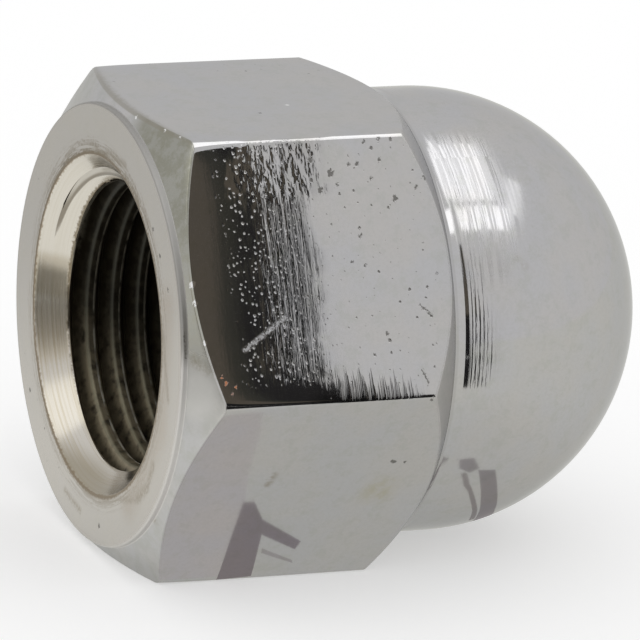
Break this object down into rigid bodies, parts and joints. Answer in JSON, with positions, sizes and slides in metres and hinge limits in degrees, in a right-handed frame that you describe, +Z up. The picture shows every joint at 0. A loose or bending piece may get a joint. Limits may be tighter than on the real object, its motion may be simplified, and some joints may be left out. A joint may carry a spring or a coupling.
{
  "type": "cap nut",
  "caption": "Hexagonal cap nut with a domed end, a raised washer face and a blind threaded hole.",
  "frame": {"origin": "centre of the bearing face, on the thread's axis", "axes": "+X along the thread's axis from the bearing face to the dome, +Z up, square to the upper flat of the hexagon; the nut lies on the opposite flat"},
  "size_m": [0.037, 0.0346, 0.03],
  "materials": {
    "plating": "nickel and chrome plate on steel, worn and pitted"
  },
  "bodies": {
    "root": {"cap_nut": "plating"}
  },
  "joints": []
}
